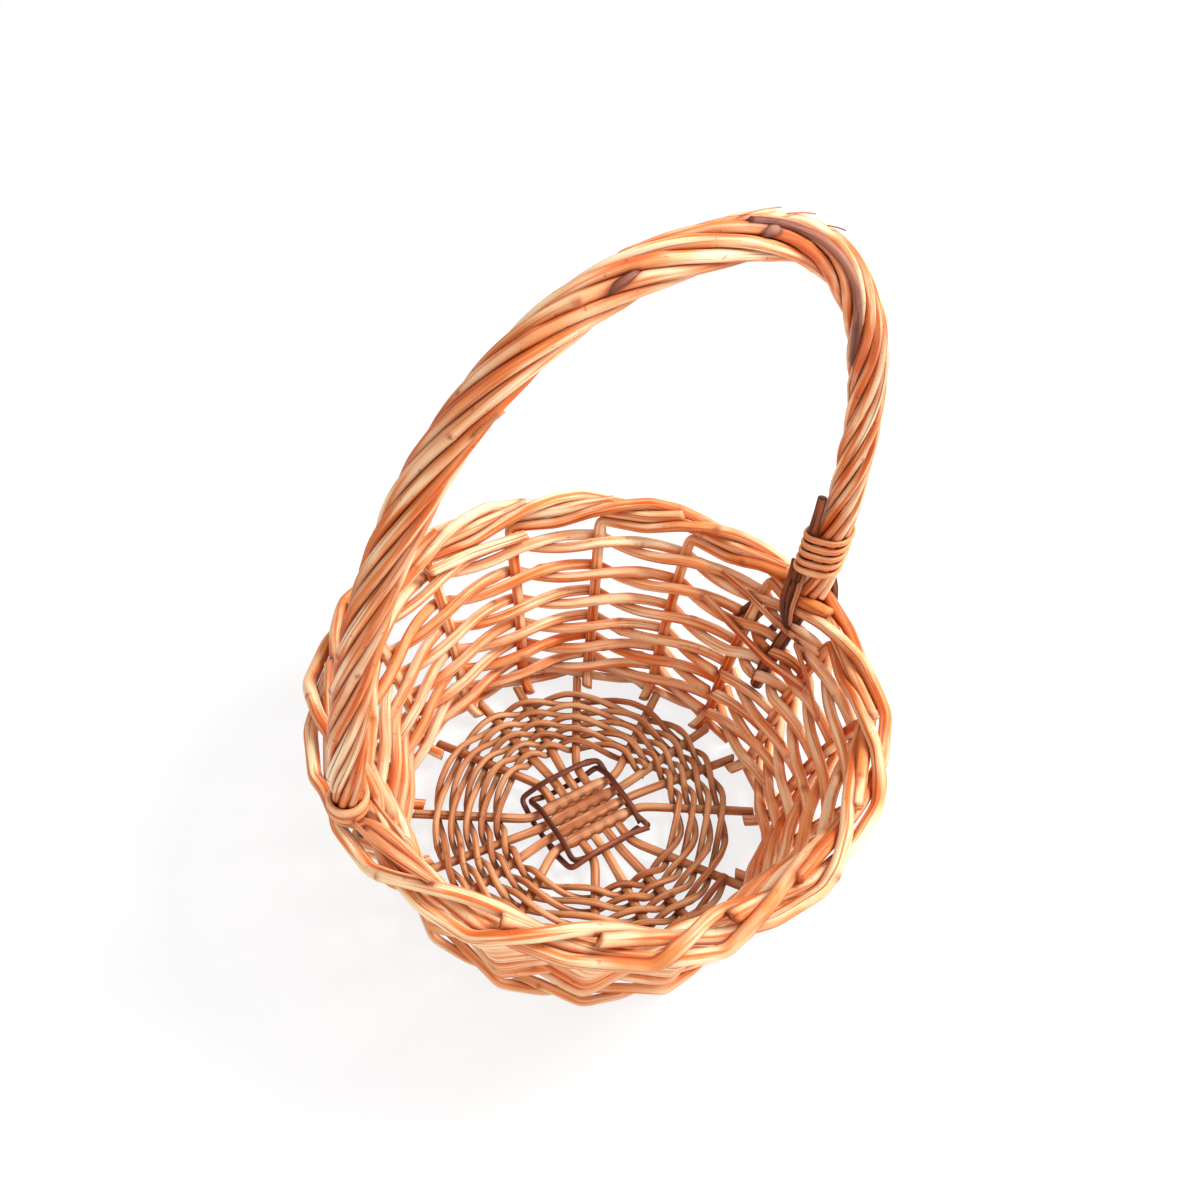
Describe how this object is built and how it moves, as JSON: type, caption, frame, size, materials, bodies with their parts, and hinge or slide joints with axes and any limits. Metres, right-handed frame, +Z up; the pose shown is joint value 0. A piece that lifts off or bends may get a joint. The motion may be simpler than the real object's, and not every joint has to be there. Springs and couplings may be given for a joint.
{
  "type": "round wicker basket",
  "caption": "Round open wicker basket with flared woven wall, rolled border and a fixed twisted hoop handle",
  "frame": {"origin": "on the floor under the middle of the basket", "axes": "+Z up, with the handle's arch across X"},
  "size_m": [0.3004, 0.2956, 0.3903],
  "materials": {
    "buff_willow": "satin",
    "brown_willow": "satin",
    "dark_willow": "matte",
    "pale_skein": "satin"
  },
  "bodies": {
    "root": {"base_tie_a": "dark_willow", "base_tie_b": "dark_willow", "base_weaver_a": "brown_willow", "base_weaver_b": "brown_willow", "pierced_stick_1": "brown_willow", "pierced_stick_2": "brown_willow", "pierced_stick_3": "brown_willow", "pierced_stick_4": "brown_willow", "threaded_stick_1": "brown_willow", "threaded_stick_2": "brown_willow", "threaded_stick_3": "brown_willow", "threaded_stick_4": "brown_willow", "foot_strand_a": "brown_willow", "foot_strand_b": "brown_willow", "low_row_1a": "buff_willow", "low_row_1b": "buff_willow", "low_row_2a": "buff_willow", "low_row_2b": "buff_willow", "low_row_3a": "buff_willow", "low_row_3b": "buff_willow", "high_row_1a": "buff_willow", "high_row_1b": "buff_willow", "high_row_2a": "buff_willow", "high_row_2b": "buff_willow", "high_row_3a": "buff_willow", "high_row_3b": "buff_willow", "stake_01": "buff_willow", "stake_02": "buff_willow", "stake_03": "buff_willow", "stake_04": "buff_willow", "stake_05": "buff_willow", "stake_06": "buff_willow", "stake_07": "buff_willow", "stake_08": "buff_willow", "stake_09": "buff_willow", "stake_10": "buff_willow", "stake_11": "buff_willow", "stake_12": "buff_willow", "stake_13": "buff_willow", "stake_14": "buff_willow", "stake_15": "buff_willow", "stake_16": "buff_willow", "handle_core": "brown_willow", "handle_strand_1": "buff_willow", "handle_strand_2": "buff_willow", "handle_strand_3": "buff_willow", "handle_strand_4": "buff_willow", "handle_strand_5": "buff_willow", "handle_strand_6": "buff_willow", "handle_strand_7": "buff_willow", "handle_strand_8": "buff_willow", "binding_right": "pale_skein", "binding_left": "pale_skein", "handle_peg": "dark_willow"}
  },
  "joints": []
}
